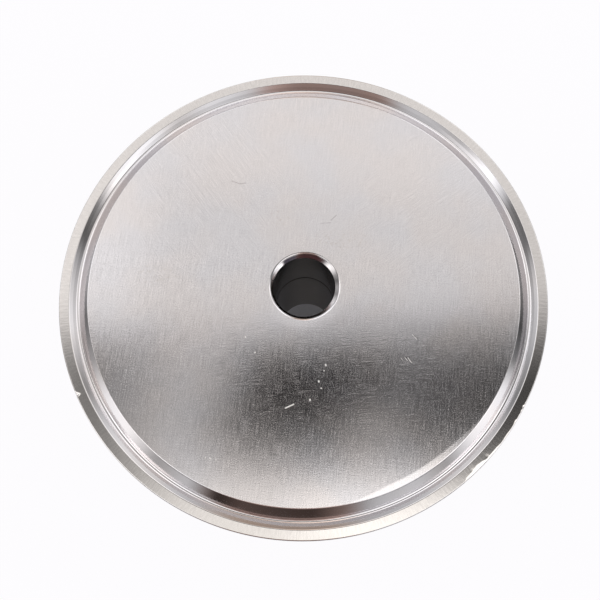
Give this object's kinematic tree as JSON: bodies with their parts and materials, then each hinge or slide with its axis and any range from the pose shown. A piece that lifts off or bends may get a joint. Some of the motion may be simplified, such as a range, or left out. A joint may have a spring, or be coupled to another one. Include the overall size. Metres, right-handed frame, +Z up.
{
  "type": "sanitary clamp reducer",
  "caption": "One-piece stainless clamp reducer: a wide flanged cap with a gasket groove, bored through a short neck to a small clamp ferrule.",
  "frame": {"origin": "centre of the small ferrule's sealing face, on the surface that the part stands on", "axes": "+Z up along the bore, from the small end towards the large sealing face; X and Y are free, as the part is round"},
  "size_m": [0.119, 0.119, 0.04],
  "materials": {
    "stainless_steel": "satin brushed sealing face, polished gasket groove and bore mouth, fine turned rim and neck"
  },
  "bodies": {
    "root": {"reducer_body": "stainless_steel"}
  },
  "joints": []
}
